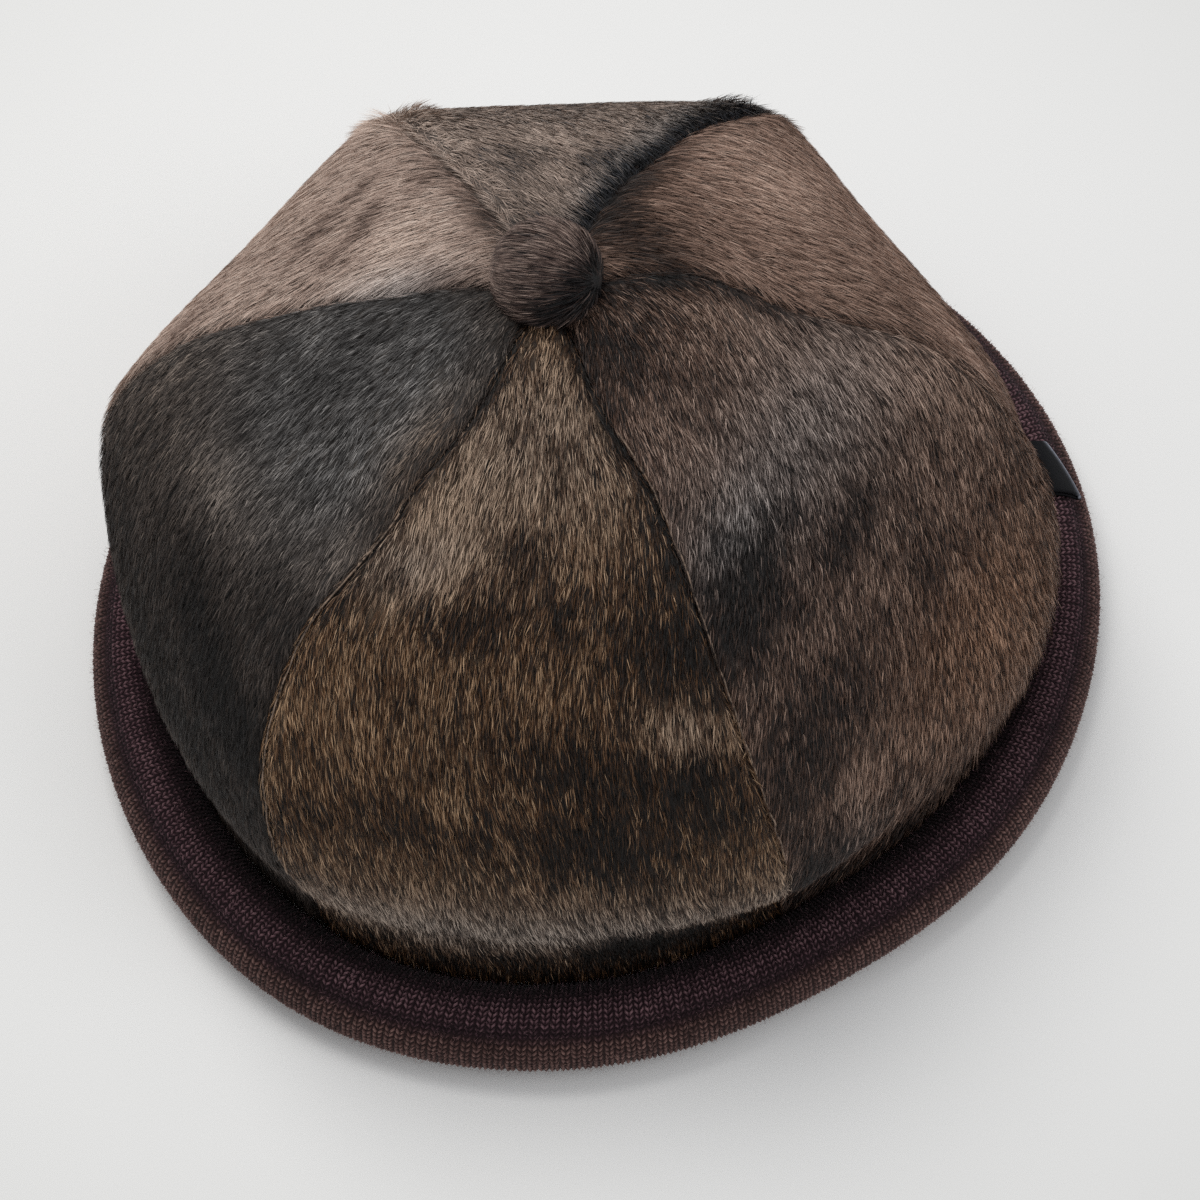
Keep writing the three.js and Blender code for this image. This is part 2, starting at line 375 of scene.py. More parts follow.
class Finish:
    """A material under construction."""

    def __init__(self, name):
        self.material = bpy.data.materials.new(name)
        self.material.use_nodes = True
        self.tree = self.material.node_tree
        self.tree.nodes.clear()

    def node(self, kind, settings=None, sockets=None, output=0):
        """Adds a node: its settings first, then the values or links of its sockets."""
        node = self.tree.nodes.new(kind)
        for key, value in (settings or {}).items():
            if key == "stops":
                self.set_stops(node.color_ramp, value)
            else:
                setattr(node, key, value)
        for key, value in (sockets or {}).items():
            if isinstance(value, Shade):
                self.tree.links.new(value.socket, node.inputs[key])
            else:
                node.inputs[key].default_value = value
        return Shade(self, node.outputs[output]) if node.outputs else None

    @staticmethod
    def set_stops(ramp, stops):
        while len(ramp.elements) < len(stops):
            ramp.elements.new(0.5)
        for element, (position, colour) in zip(ramp.elements, stops):
            element.position = position
            element.color = colour

    def attribute(self, name):
        return self.node("ShaderNodeAttribute", {"attribute_name": name}, output="Fac")

    def noise(self, scale, detail=3.0, roughness=0.6):
        spot = self.node("ShaderNodeTexCoord", output="Object")
        sockets = {"Vector": spot, "Scale": scale, "Detail": detail, "Roughness": roughness}
        return self.node("ShaderNodeTexNoise", {}, sockets, "Fac")

    def ramp(self, value, stops):
        return self.node("ShaderNodeValToRGB", {"stops": stops}, {"Fac": value}, "Color")

    def mixed(self, share, first, second):
        """Colour mix; share 0 gives the first colour."""
        return self.node("ShaderNodeMix", {"data_type": "RGBA"}, {"Factor": share, 6: first, 7: second}, 2)

    def bump(self, height, strength, distance):
        return self.node("ShaderNodeBump", {}, {"Strength": strength, "Distance": distance, "Height": height})

    def surface(self, **sockets):
        named = {key.replace("_", " "): value for key, value in sockets.items()}
        shader = self.node("ShaderNodeBsdfPrincipled", {}, named)
        self.node("ShaderNodeOutputMaterial", {}, {"Surface": shader})
        return self.material


def srgb(red, green, blue):
    """A colour given as screen values from 0 to 255."""
    linear = []
    for value in (red, green, blue):
        share = value / 255
        linear.append(share / 12.92 if share <= 0.04045 else ((share + 0.055) / 1.055) ** 2.4)
    return (*linear, 1.0)


BLACK = srgb(0, 0, 0)
# Hair: share of its colour that a full painted sheen takes away, and how soon the painted shade at the root
# has gone.
HAIR_PAINTED_SHEEN_GREYING = 0.75
HAIR_ROOT_FADE = 1.5
# Hide: painted shade under the hair, which keeps this share of the hair's colour, and how far its grain moves
# the tone.
HIDE_PAINTED_SHADE = 0.5
HIDE_GRAIN_TONE = 0.5


def hair_finish(name, shades, painted_root_shade):
    """Short lying hair: tone picks the shade of each hair, and painted shade darkens it towards its root."""
    finish = Finish(name)
    tone = finish.attribute("tone")
    reach = finish.attribute("reach")
    stops = [(share, srgb(*shade)) for share, shade in shades]
    full_colour = finish.ramp(tone, stops)
    # Painted sheen greys the colour where the coat gleams; below 0 it makes the colour richer.
    saturation = 1 - finish.attribute("sheen") * HAIR_PAINTED_SHEEN_GREYING
    colour = finish.node("ShaderNodeHueSaturation", {}, {"Saturation": saturation, "Color": full_colour})
    # Painted shade at the roots of the hair.
    painted_root_shade_colour = finish.mixed(painted_root_shade, colour, BLACK)
    coloured = finish.mixed((reach * HAIR_ROOT_FADE).clamped(), painted_root_shade_colour, colour)
    return finish.surface(Base_Color=coloured, Roughness=0.5, Specular_IOR_Level=0.25)


def hide_finish(name, shades):
    """The hide under the hair: the hair's own shades, darkened as painted shade, with a fine grain."""
    finish = Finish(name)
    tone = finish.attribute("tone")
    grain = finish.noise(scale=900.0)
    stops = [(share, srgb(*[value * HIDE_PAINTED_SHADE for value in shade])) for share, shade in shades]
    colour = finish.ramp((tone + (grain - 0.5) * HIDE_GRAIN_TONE).clamped(), stops)
    relief = finish.bump(grain, strength=0.5, distance=0.0006)
    return finish.surface(Base_Color=colour, Roughness=0.7, Normal=relief)


# Hair of the gores: number to a square millimetre, usual sizes in mm, turns in degrees, and the least and
# most of what chance makes of a length, a width, a tuft's lift (shares) and a loft (mm).
HAIR_DENSITY = 5.15
HAIR = {
    "length": 3.9,
    "lengths": (0.7, 1.2),
    "width": 0.145,
    "widths": (0.7, 1.3),
    "lofts": (0.25, 1.5),
    "least_loft": 0.15,
    "flat_at_seam": 0.5,
    "past_hem": 1.0,
    "spread": 7.0,
    "seam_spread": 38.0,
    "tuft_lifts": (0.2, 1.0),
}
# A hair's blade: greatest roll, where along it is widest, its rise there, and depth of its root.
BLADE = {"roll": math.radians(50), "widest": 0.42, "rise": 0.72, "sunk": 0.2}
# Small locks: size of their cells in mm, shift from row to row, wander of the middle line, pull of the hair
# to that line, and change of tone, turn in degrees and loft from lock to lock.
LOCK = {
    "size": (1.2, 3.4, 1.0),
    "shift": 0.5,
    "wander": 0.3,
    "gather": 0.3,
    "tone": 0.08,
    "turn": 6.0,
    "loft": 0.3,
}
# Slow wander of the nap: size of its cells in mm, turn in degrees.
NAP_WANDER = ((16, 8), (4, 6))
# Mottle of the hide: breadth and length of its cells in mm, and amount.
MOTTLE = ((16, 22, 0.12), (5, 8, 0.17), (0.55, 3, 0.25))
HAIR_CHANCE = 0.27
# Painted shade: the hair is darkened along the seams, where they sink into valleys.
SEAM_PAINTED_SHADE = {"width": 0.8, "change": -0.25}
# Painted shade: the hair is darkened towards the hem, in the recess under the crown's bulge.
HEM_PAINTED_SHADE = {"from": 0.86, "to": 0.97, "change": -0.35}

# Hide gores, each from its first seam (across 0) to the next (across 1), and from tip to hem (along).
#   nap: turn of the hair from straight down the gore towards the next seam, in degrees:
#        (first seam, next seam) at the tip, then at the hem.
#   shades: tone, then screen colour.
#   tone: usual tone of the coat.
#   mottle: how strongly the shades mix.
#   patches: across, along, breadth and length in mm, change of tone.
#   painted sheen: across, along, breadth and length in mm, how much colour the painted sheen takes away.
#        Below 0 it adds some colour instead.
#   hair: length and loft as shares of the usual ones, and the painted shade at the roots.
#   over: how far the hair may lie over the first and the next seam, in mm.
#   past: how far the roots stand past the first and the next seam, in mm.
#   fray: breadth of the strip of loose hair beside the first and the next seam, in mm.
#   tufts: across, along, radius in mm, lift in mm.
GORES = (
    {
        "name": "front",
        "nap": ((26, -26), (14, -2)),
        "shades": ((0.0, (8, 4, 1)), (0.3, (45, 26, 13)), (0.6, (106, 73, 45)), (1.0, (198, 163, 128))),
        "tone": 0.5,
        "mottle": 1.0,
        "patches": (
            (0.3, 0.21, 30, 24, 0.26),
            (0.06, 0.29, 9, 9, 0.26),
            (0.45, 0.33, 5, 5, -0.25),
            (0.91, 0.34, 6, 7, -0.2),
            (0.23, 0.34, 9, 7, 0.12),
            (0.34, 0.42, 8, 6, -0.26),
            (0.56, 0.4, 12, 7, -0.22),
            (0.93, 0.43, 13, 11, -0.45),
            (0.9, 0.53, 8, 5, 0.33),
            (0.6, 0.57, 15, 6, -0.34),
            (0.85, 0.6, 15, 7, -0.46),
            (0.92, 0.66, 12, 7, -0.26),
            (0.3, 0.67, 10, 6, -0.22),
            (0.12, 0.65, 20, 10, -0.1),
            (0.66, 0.68, 17, 9, -0.42),
            # Painted highlight: the band where the crown turns in above the hem.
            (0.42, 0.83, 60, 10, 0.24),
            (0.22, 0.77, 12, 7, 0.12),
            # Painted shade in the recess under the crown's bulge.
            (0.7, 0.9, 19, 6, -0.75),
            (0.0, 0.65, 1.3, 60, 0.42),
            (1.0, 0.66, 1.0, 60, 0.4),
            # Painted shade in the seam grooves near the button.
            (0.99, 0.2, 2.0, 26, -0.6),
            (0.01, 0.2, 1.7, 26, -0.5),
        ),
        "sheen": (
            (0.4, 0.2, 40, 26, 0.36),
            (0.1, 0.35, 14, 9, 0.35),
            # Painted sheen on the band where the crown turns in above the hem.
            (0.5, 0.84, 90, 14, 0.7),
            (0.9, 0.53, 10, 8, 0.3),
        ),
        "hair": {"length": 1.0, "loft": 1.0, "root": 0.62},
        "over": (0.9, 0.8),
        "past": (0.9, 0.9),
        "fray": (1.0, 1.0),
        "tufts": (),
    },
    {
        "name": "right_front",
        "nap": ((-18, -40), (-42, -80)),
        "shades": ((0.0, (12, 8, 7)), (0.3, (54, 38, 31)), (0.6, (112, 86, 72)), (1.0, (190, 161, 143))),
        "tone": 0.5,
        "mottle": 0.85,
        "patches": (
            (0.26, 0.12, 14, 8, -0.34),
            (0.5, 0.29, 40, 14, 0.17),
            (0.84, 0.2, 7, 10, 0.08),
            # Painted shade under the next gore's overlapping hair at the seam.
            (0.99, 0.16, 2.8, 22, -0.52),
            (0.53, 0.15, 5, 5, 0.12),
            (0.6, 0.2, 4, 4, 0.15),
            (0.94, 0.47, 14, 22, 0.32),
            (0.22, 0.395, 14, 6, -0.34),
            (0.08, 0.445, 14, 8, -0.52),
            (0.44, 0.47, 16, 5, -0.42),
            (0.3, 0.47, 8, 6, 0.12),
            (0.2, 0.57, 14, 8, -0.24),
            (0.57, 0.61, 11, 7, -0.2),
            (0.25, 0.63, 10, 7, -0.24),
            (0.07, 0.63, 10, 9, -0.3),
            (0.22, 0.73, 9, 6, 0.26),
            (0.47, 0.78, 10, 8, 0.14),
            (0.64, 0.76, 22, 14, 0.28),
            (0.06, 0.8, 10, 12, -0.42),
            (0.14, 0.84, 20, 6, -0.26),
            # Takes back some of the painted shade at the hem, where the hair stands out.
            (0.66, 0.94, 30, 9, 0.3),
        ),
        "sheen": (
            (0.55, 0.36, 34, 18, 0.6),
            (0.16, 0.37, 14, 8, 0.6),
            (0.1, 0.82, 14, 12, 0.4),
            (0.6, 0.72, 40, 20, -0.4),
        ),
        "hair": {"length": 1.0, "loft": 1.0, "root": 0.62},
        "over": (0.0, 0.4),
        "past": (0.5, 0.5),
        "fray": (1.0, 1.4),
        "tufts": ((0.66, 0.86, 28, 4.8),),
    },
    {
        "name": "right_back",
        "nap": ((-32, -52), (-38, -58)),
        "shades": (
            (0.0, (34, 22, 17)),
            (0.3, (100, 76, 63)),
            (0.6, (158, 128, 112)),
            (1.0, (216, 188, 170)),
        ),
        "tone": 0.5,
        "mottle": 0.48,
        "patches": (
            (0.5, 0.12, 17, 10, -0.42),
            (0.76, 0.39, 16, 16, 0.28),
            (0.5, 0.27, 12, 9, 0.06),
            (0.18, 0.46, 12, 8, -0.1),
            (0.12, 0.57, 9, 7, 0.1),
            (0.96, 0.19, 3.5, 15, -0.4),
            (0.35, 0.72, 18, 12, -0.2),
            (0.72, 0.84, 16, 9, 0.16),
        ),
        "sheen": (),
        "hair": {"length": 1.2, "loft": 0.75, "root": 0.5},
        "over": (1.8, 0.3),
        "past": (0.5, 0.5),
        "fray": (1.4, 1.0),
        "tufts": (),
    },
    {
        "name": "back",
        "nap": ((-126, -170), (-126, -168)),
        "shades": (
            (0.0, (14, 15, 19)),
            (0.16, (52, 55, 64)),
            (0.35, (102, 90, 82)),
            (0.6, (154, 135, 123)),
            (1.0, (218, 197, 182)),
        ),
        "tone": 0.5,
        "mottle": 0.5,
        "patches": (
            (0.65, 0.34, 24, 16, 0.2),
            (0.76, 0.27, 10, 6, -0.1),
            (0.5, 0.2, 5, 12, 0.18),
            (0.25, 0.25, 5, 8, -0.28),
            (0.2, 0.15, 4, 8, 0.1),
            (0.0, 0.2, 4.6, 60, -0.7),
            (0.6, 0.1, 22, 6, -0.14),
            (0.28, 0.62, 17, 13, -0.16),
            (0.7, 0.76, 15, 11, 0.16),
            (1.0, 0.26, 2.2, 36, 0.36),
            (1.0, 0.46, 7, 12, 0.4),
        ),
        "sheen": ((0.1, 0.28, 6, 60, 0.5),),
        "hair": {"length": 1.5, "loft": 0.45, "root": 0.4},
        "over": (3.2, 0.8),
        "past": (0.5, 2.6),
        "fray": (1.2, 2.0),
        "tufts": (
            (0.0, 0.46, 10, 5.0),
            (0.0, 0.36, 9, 2.2),
            (0.0, 0.25, 9, 1.8),
            (0.0, 0.14, 8, 1.4),
            (0.98, 0.46, 7, 4.0),
            (1.0, 0.28, 3, 1.2),
        ),
    },
    {
        "name": "left_back",
        "nap": ((63, 43), (66, 42)),
        "shades": (
            (0.0, (60, 46, 40)),
            (0.3, (138, 115, 103)),
            (0.6, (184, 160, 146)),
            (1.0, (224, 203, 188)),
        ),
        "tone": 0.66,
        "mottle": 0.36,
        "patches": (
            (0.4, 0.29, 6, 3, -0.42),
            (0.54, 0.36, 8, 3.5, -0.4),
            (0.92, 0.47, 6, 5, -0.3),
            (0.12, 0.25, 5, 3, -0.34),
            (0.06, 0.12, 3.5, 6, -0.26),
            (0.03, 0.16, 2.4, 14, -0.34),
            (0.28, 0.35, 5, 2.5, -0.4),
            (0.64, 0.29, 7, 2.5, -0.3),
            (0.55, 0.2, 18, 8, 0.22),
            (0.97, 0.1, 6, 8, -0.42),
            (0.0, 0.46, 6, 12, 0.3),
            (0.3, 0.63, 15, 9, -0.2),
            (0.68, 0.74, 17, 10, 0.12),
            (0.5, 0.88, 22, 8, -0.18),
        ),
        "sheen": ((0.98, 0.16, 8, 12, 0.6),),
        "hair": {"length": 1.35, "loft": 0.55, "root": 0.35},
        "over": (1.0, 1.7),
        "past": (1.4, 0.5),
        "fray": (1.8, 1.6),
        "tufts": ((0.02, 0.45, 8, 4.5), (0.02, 0.3, 3, 1.0)),
    },
    {
        "name": "left_front",
        "nap": ((24, 14), (36, 16)),
        "shades": ((0.0, (14, 9, 7)), (0.35, (53, 43, 37)), (0.65, (98, 87, 80)), (1.0, (170, 152, 137))),
        "tone": 0.5,
        "mottle": 0.5,
        "patches": (
            (0.69, 0.36, 26, 18, 0.12),
            (0.8, 0.22, 10, 14, 0.18),
            (0.13, 0.27, 6, 4, 0.2),
            (0.32, 0.27, 12, 6, -0.08),
            (0.56, 0.46, 11, 6, 0.22),
            (0.42, 0.47, 7, 6, 0.14),
            (0.05, 0.45, 9, 30, 0.14),
            (0.7, 0.57, 24, 10, -0.36),
            (0.92, 0.46, 12, 8, -0.26),
            (0.88, 0.61, 16, 9, -0.34),
            (0.6, 0.72, 70, 17, -0.38),
        ),
        "sheen": ((0.5, 0.3, 40, 24, 1.2), (0.3, 0.15, 20, 14, 0.9), (0.97, 0.24, 7, 20, -1.2)),
        "hair": {"length": 0.85, "loft": 0.8, "root": 0.6},
        "over": (0.5, 0.3),
        "past": (0.5, 0.5),
        "fray": (1.0, 1.0),
        "tufts": (),
    },
)


def gore_frame(index, across, along):
    """Point, direction down the gore, direction across it and outward normal of the hair bed."""
    point = bed_point(index, across, along)
    ahead = bed_point(index, across, along + SLOPE_STEP)
    down = unit(ahead - bed_point(index, across, along - SLOPE_STEP))
    right = bed_point(index, across + SLOPE_STEP, along) - bed_point(index, across - SLOPE_STEP, along)
    normal = unit(np.cross(down, right))
    return point, down, np.cross(normal, down), normal


def gore_area(index, stations=200):
    """Area of a gore's outer face in square millimetres."""
    widths = gore_width(index, np.linspace(0, 1, stations))
    return np.trapz(widths, dx=PROFILE_LENGTH / (stations - 1))


def gore_places(index, count, past, draw, cells=160):
    """Places spread evenly over a gore's area and a little past its seams, as shares across and along."""
    edges = np.linspace(0, 1, cells + 1)
    tip = GORE_TIP_RADIUS / PROFILE_LENGTH
    middle = tip + (1 - tip) * (edges[:-1] + edges[1:]) / 2
    weight = gore_width(index, middle)
    rows = draw.choice(cells, count, p=weight / weight.sum())
    along = tip + (1 - tip) * (rows + draw.random(count)) / cells
    past_first, past_next = np.array(past)[:, None] / gore_width(index, along)
    across = draw.random(count) * (1 + past_first + past_next) - past_first
    return across, along


def gore_plan(index, across, along):
    """Places of a gore laid flat, in millimetres, with the gore's number as the third coordinate."""
    sideways = (across - 0.5) * gore_width(index, along)
    return np.stack([sideways, along * PROFILE_LENGTH, np.full(len(along), index + 0.5)], axis=-1)


def patch_sum(index, across, along, patches):
    """Sum of soft round patches at places of a gore."""
    total = np.zeros(len(along))
    width = gore_width(index, along)
    for patch_across, patch_along, breadth, length, change in patches:
        sideways = (across - patch_across) * width / breadth
        downwards = (along - patch_along) * PROFILE_LENGTH / length
        total += change * np.exp(-(sideways**2 + downwards**2))
    return total


def gore_tone(index, gore, across, along, draw):
    """Tone of the hair at places of a gore: mottle, patches, painted shade at seams and hem, and a little
    chance.
    """
    flat = gore_plan(index, across, along)
    tone = HAIR_CHANCE * draw.standard_normal(len(along))
    for seed, (breadth, length, amount) in enumerate(MOTTLE, NOISE_SEEDS["mottle"]):
        tone += amount * soft_noise(flat, (breadth, length, 1), seed)
    tone = gore["tone"] + gore["mottle"] * tone
    from_seam = np.minimum(across, 1 - across) * gore_width(index, along)
    # Painted shade along the seams.
    tone += SEAM_PAINTED_SHADE["change"] * bell(from_seam, SEAM_PAINTED_SHADE["width"])
    # Painted shade towards the hem.
    tone += HEM_PAINTED_SHADE["change"] * smoothstep(along, HEM_PAINTED_SHADE["from"], HEM_PAINTED_SHADE["to"])
    tone += patch_sum(index, across, along, gore["patches"])
    return np.clip(tone, 0, 1)


def hair_mesh(name, root, direction, normal, length, loft, width, draw, material, hump=0.0):
    """Flat tapered hairs, four corners each: root, two sides and tip.

    Loft is the tip's height over the plane at the root, and hump lifts the middle.
    """
    count = len(root)
    side = np.cross(direction, normal)
    roll = BLADE["roll"] * draw.uniform(-1, 1, count)[:, None]
    blade = np.cos(roll) * side + np.sin(roll) * normal
    widest = BLADE["widest"]
    middle = root + direction * (length * widest)[:, None] + normal * (loft * BLADE["rise"] + hump)[:, None]
    tip = root + direction * length[:, None] + normal * loft[:, None]
    half = blade * (width / 2)[:, None]
    sunk_root = root - normal * BLADE["sunk"]
    corners = np.stack([sunk_root, middle + half, tip, middle - half], axis=1)
    faces = np.arange(count * 4).reshape(-1, 4)
    obj = make_object(name, corners.reshape(-1, 3), faces, material, smooth=False)
    set_attribute(obj, "reach", "POINT", np.tile([0.0, widest, 1.0, widest], count))
    cell_layout(obj, ((0, 0), (1, 0), (1, 1), (0, 1)))
    return obj


def lock_of(flat):
    """The lock that each hair belongs to: the way to its middle line and three fixed chances."""
    size = np.array(LOCK["size"])
    row = np.floor(flat[:, 1] / size[1])
    shifted = flat + np.outer(row * LOCK["shift"] % 1, [size[0], 0, 0])
    cell = np.floor(shifted / size)
    wander, *chances = (lattice_noise(cell, NOISE_SEEDS["lock"] + number) for number in range(4))
    middle = (cell[:, 0] + 0.5 + LOCK["wander"] * wander) * size[0]
    return middle - shifted[:, 0], chances


def nap_turn(gore, across, along, point):
    """Turn of the nap at places of a gore, with its slow wander."""
    tip_nap, hem_nap = (first + (following - first) * across for first, following in gore["nap"])
    nap = np.radians(tip_nap + (hem_nap - tip_nap) * along)
    for seed, (size, turn) in enumerate(NAP_WANDER, NOISE_SEEDS["nap"]):
        nap += np.radians(turn) * soft_noise(point, size, seed)
    return nap


def kept_in_gore(gore, sideways, length, from_first, from_next):
    """Way sideways of each hair, held back where it would lie too far over a seam."""
    over_first, over_next = gore["over"]
    least = -from_first - over_first
    most = from_next + over_next
    return np.clip(sideways, np.maximum(least, -length), np.minimum(most, length))


def gore_hair(index, gore, material):
    """The hair of one gore, lying along the nap in small locks that stop at the seams."""
    draw = np.random.default_rng(DRAW_SEEDS["hair"] + index)
    count = int(gore_area(index) * HAIR_DENSITY * (1))
    across, along = gore_places(index, count, gore["past"], draw)
    point, down, right, normal = gore_frame(index, across, along)
    to_middle, (lock_tone, lock_turn, lock_loft) = lock_of(gore_plan(index, across, along))

    length = HAIR["length"] * gore["hair"]["length"] * draw.uniform(*HAIR["lengths"], count)
    to_hem = (1 - along) * PROFILE_LENGTH
    length = np.minimum(length, to_hem + HAIR["past_hem"])
    nap = nap_turn(gore, across, along, point)
    nap += np.radians(LOCK["turn"]) * lock_turn + np.radians(HAIR["spread"]) * draw.standard_normal(count)

    width = gore_width(index, along)
    from_first = across * width
    from_next = (1 - across) * width
    fray_first, fray_next = gore["fray"]
    beside_seam = np.maximum(bell(from_first, fray_first), bell(from_next, fray_next))
    nap += np.radians(HAIR["seam_spread"]) * beside_seam * draw.standard_normal(count)
    sideways = length * np.sin(nap) + LOCK["gather"] * to_middle
    sideways = kept_in_gore(gore, sideways, length, from_first, from_next)
    onward = np.sqrt(np.maximum(length**2 - sideways**2, 0)) * np.sign(np.cos(nap))
    direction = (sideways[:, None] * right + onward[:, None] * down) / length[:, None]

    loft = draw.uniform(*HAIR["lofts"], count) + LOCK["loft"] * lock_loft
    loft = np.maximum(loft, HAIR["least_loft"]) * (1 - HAIR["flat_at_seam"] * beside_seam)
    loft = gore["hair"]["loft"] * loft
    for tuft_across, tuft_along, radius, lift in gore["tufts"]:
        away = np.hypot((across - tuft_across) * width, (along - tuft_along) * PROFILE_LENGTH)
        loft += lift * bell(away, radius) * draw.uniform(*HAIR["tuft_lifts"], count)
    thickness = HAIR["width"] * draw.uniform(*HAIR["widths"], count)
    obj = hair_mesh(f"hair_{gore['name']}", point, direction, normal, length, loft, thickness, draw, material)
    tone = gore_tone(index, gore, across, along, draw) + LOCK["tone"] * lock_tone
    set_attribute(obj, "tone", "FACE", np.clip(tone, 0, 1))
    # Painted sheen, and below 0 a richer colour.
    sheen = patch_sum(index, across, along, gore["sheen"])
    set_attribute(obj, "sheen", "FACE", np.clip(sheen, -1, 1))
    return obj


def gore_hide(index, gore, material):
    """The hide of one gore, a closed wall under its hair."""
    tip = GORE_TIP_RADIUS / PROFILE_LENGTH
    along, across = np.meshgrid(
        np.linspace(tip, 1, GORE_GRID["rows"] + 1),
        0.5 - 0.5 * np.cos(np.linspace(0, math.pi, GORE_GRID["columns"] + 1)),
        indexing="ij",
    )
    outer = bed_point(index, across, along)
    inner = gore_point(index, across, along, HIDE_INNER_DEPTH)
    obj = wall_mesh(f"hide_{gore['name']}", outer, inner, material)
    draw = np.random.default_rng(DRAW_SEEDS["hide"] + index)
    tone = gore_tone(index, gore, across.ravel(), along.ravel(), draw)
    set_attribute(obj, "tone", "POINT", np.concatenate([tone, tone]))
    return obj


def place(piece, slot, *nodes):
    """Fixes a piece to the cap: its body and the solids that it stands for. The slot is not used."""
    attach(piece, "root")
    if nodes:
        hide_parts(*nodes)


for gore_index, gore_row in enumerate(GORES):
    gore_name = gore_row["name"]
    skin = hide_finish(f"hide_{gore_name}", gore_row["shades"])
    hide = gore_hide(gore_index, gore_row, skin)
    place(hide, f"hide_{gore_name}", f"gore_{gore_name}")
    coat = hair_finish(f"hair_{gore_name}", gore_row["shades"], gore_row["hair"]["root"])
    hair = gore_hair(gore_index, gore_row, coat)
    place(hair, f"hide_{gore_name}")


# Cut edges of the hide that show as pale lines along the two front seams.
#   gore: number of the gore that starts at the seam; from, to: shares of the way from tip to hem.
SEAM_EDGES = (
    {"name": "front_left", "gore": 0, "from": 0.3, "to": 0.9},
    {"name": "front_right", "gore": 1, "from": 0.2, "to": 0.93},
)
SEAM_EDGE = {"radius": 0.16, "height": 0.95, "wander": 0.7, "wander_size": 3, "steps": 260, "sides": 6}


def edge_finish():
    finish = Finish("hide_edge")
    speck = finish.noise(scale=900.0)
    colour = finish.ramp(speck, [(0.35, srgb(40, 31, 26)), (0.6, srgb(140, 119, 102))])
    relief = finish.bump(speck, strength=0.4, distance=0.0002)
    return finish.surface(Base_Color=colour, Roughness=0.8, Normal=relief)


def make_seam_edge(edge, material):
    """A thin ragged bead along a seam, rising and sinking among the hairs."""
    steps, sides = SEAM_EDGE["steps"], SEAM_EDGE["sides"]
    along = np.linspace(edge["from"], edge["to"], steps)
    point, _, right, normal = gore_frame(edge["gore"], np.zeros(steps), along)
    wander = soft_noise(point, SEAM_EDGE["wander_size"], NOISE_SEEDS["seam_edge"])
    rise = SEAM_EDGE["height"] + SEAM_EDGE["wander"] * wander
    turn = np.linspace(0, 2 * math.pi, sides, endpoint=False)
    ring = np.cos(turn)[None, :, None] * right[:, None] + np.sin(turn)[None, :, None] * normal[:, None]
    points = (point + normal * rise[:, None])[:, None] + ring * SEAM_EDGE["radius"]
    faces = [tuple(face) for face in grid_faces(steps, sides, close_columns=True)]
    faces.append(tuple(range(sides)))
    faces.append(tuple(range(steps * sides - 1, (steps - 1) * sides - 1, -1)))
    bead = make_object(f"edge_{edge['name']}", points.reshape(-1, 3), faces, material, smooth=False)
    place(bead, f"hide_{GORES[edge['gore']]['name']}")


hide_edge = edge_finish()
for edge_row in SEAM_EDGES:
    make_seam_edge(edge_row, hide_edge)


# Button: a hide-covered dome whose hair fans out from a pinch low on its right.
BUTTON_SHADES = (
    (0.0, (12, 10, 12)),
    (0.35, (62, 48, 44)),
    (0.65, (112, 92, 84)),
    (1.0, (172, 150, 138)),
)
BUTTON_TONE = 0.56
BUTTON_CHANCE = 0.28
# Mottle of the button: size of its cells in mm, and amount.
BUTTON_MOTTLE = ((5, 0.14), (1.0, 0.26))
BUTTON_PINCH = {"bearing": math.radians(-18), "rise": math.radians(14)}
# Dark spots on the button: bearing and rise in degrees, radius in mm, change of tone.
BUTTON_SPOTS = ((-18, 14, 5.0, -0.5), (-48, 18, 4.0, -0.55), (-82, 14, 4.6, -0.45), (60, 10, 5.0, -0.2))
BUTTON_BED_DEPTH = 0.9
BUTTON_GRID = {"segments": 48, "rows": 20, "last_row": math.pi / 2 * 0.985}
# Hair of the button. Lowest and climb keep its roots off the dome's foot and pole.
BUTTON_HAIR = {
    "density": 11.0,
    "length": 5.6,
    "width": 0.18,
    "lofts": (0.2, 1.1),
    "spread": 0.6,
    # root: share of painted shade at the hairs' roots.
    "root": 0.7,
    "lowest": 0.01,
    "climb": 0.98,
}
BUTTON_AXIS = np.array([LEAN["x"], LEAN["y"], BUTTON_BASE])


def button_point(bearing, rise, depth):
    """Points of the dome at a bearing and a rise, from the base at 0 to the top at a right angle."""
    power = 2 / BUTTON["squareness"]
    reach = (BUTTON["radius"] - depth) * np.cos(rise) ** power
    height = (BUTTON["height"] - depth) * np.sin(rise) ** power
    return BUTTON_AXIS + np.stack([reach * np.cos(bearing), reach * np.sin(bearing), height], axis=-1)


def button_normal(bearing, rise):
    turn = button_point(bearing + SLOPE_STEP, rise, 0) - button_point(bearing - SLOPE_STEP, rise, 0)
    climb = button_point(bearing, rise + SLOPE_STEP, 0) - button_point(bearing, rise - SLOPE_STEP, 0)
    return unit(np.cross(turn, climb))


def button_tone(point, draw):
    tone = BUTTON_TONE + BUTTON_CHANCE * draw.standard_normal(len(point))
    for seed, (size, amount) in enumerate(BUTTON_MOTTLE, NOISE_SEEDS["button"]):
        tone += amount * soft_noise(point, size, seed)
    for bearing, rise, radius, change in BUTTON_SPOTS:
        spot = button_point(math.radians(bearing), math.radians(rise), 0)
        tone += change * bell(np.linalg.norm(point - spot, axis=-1), radius)
    return np.clip(tone, 0, 1)


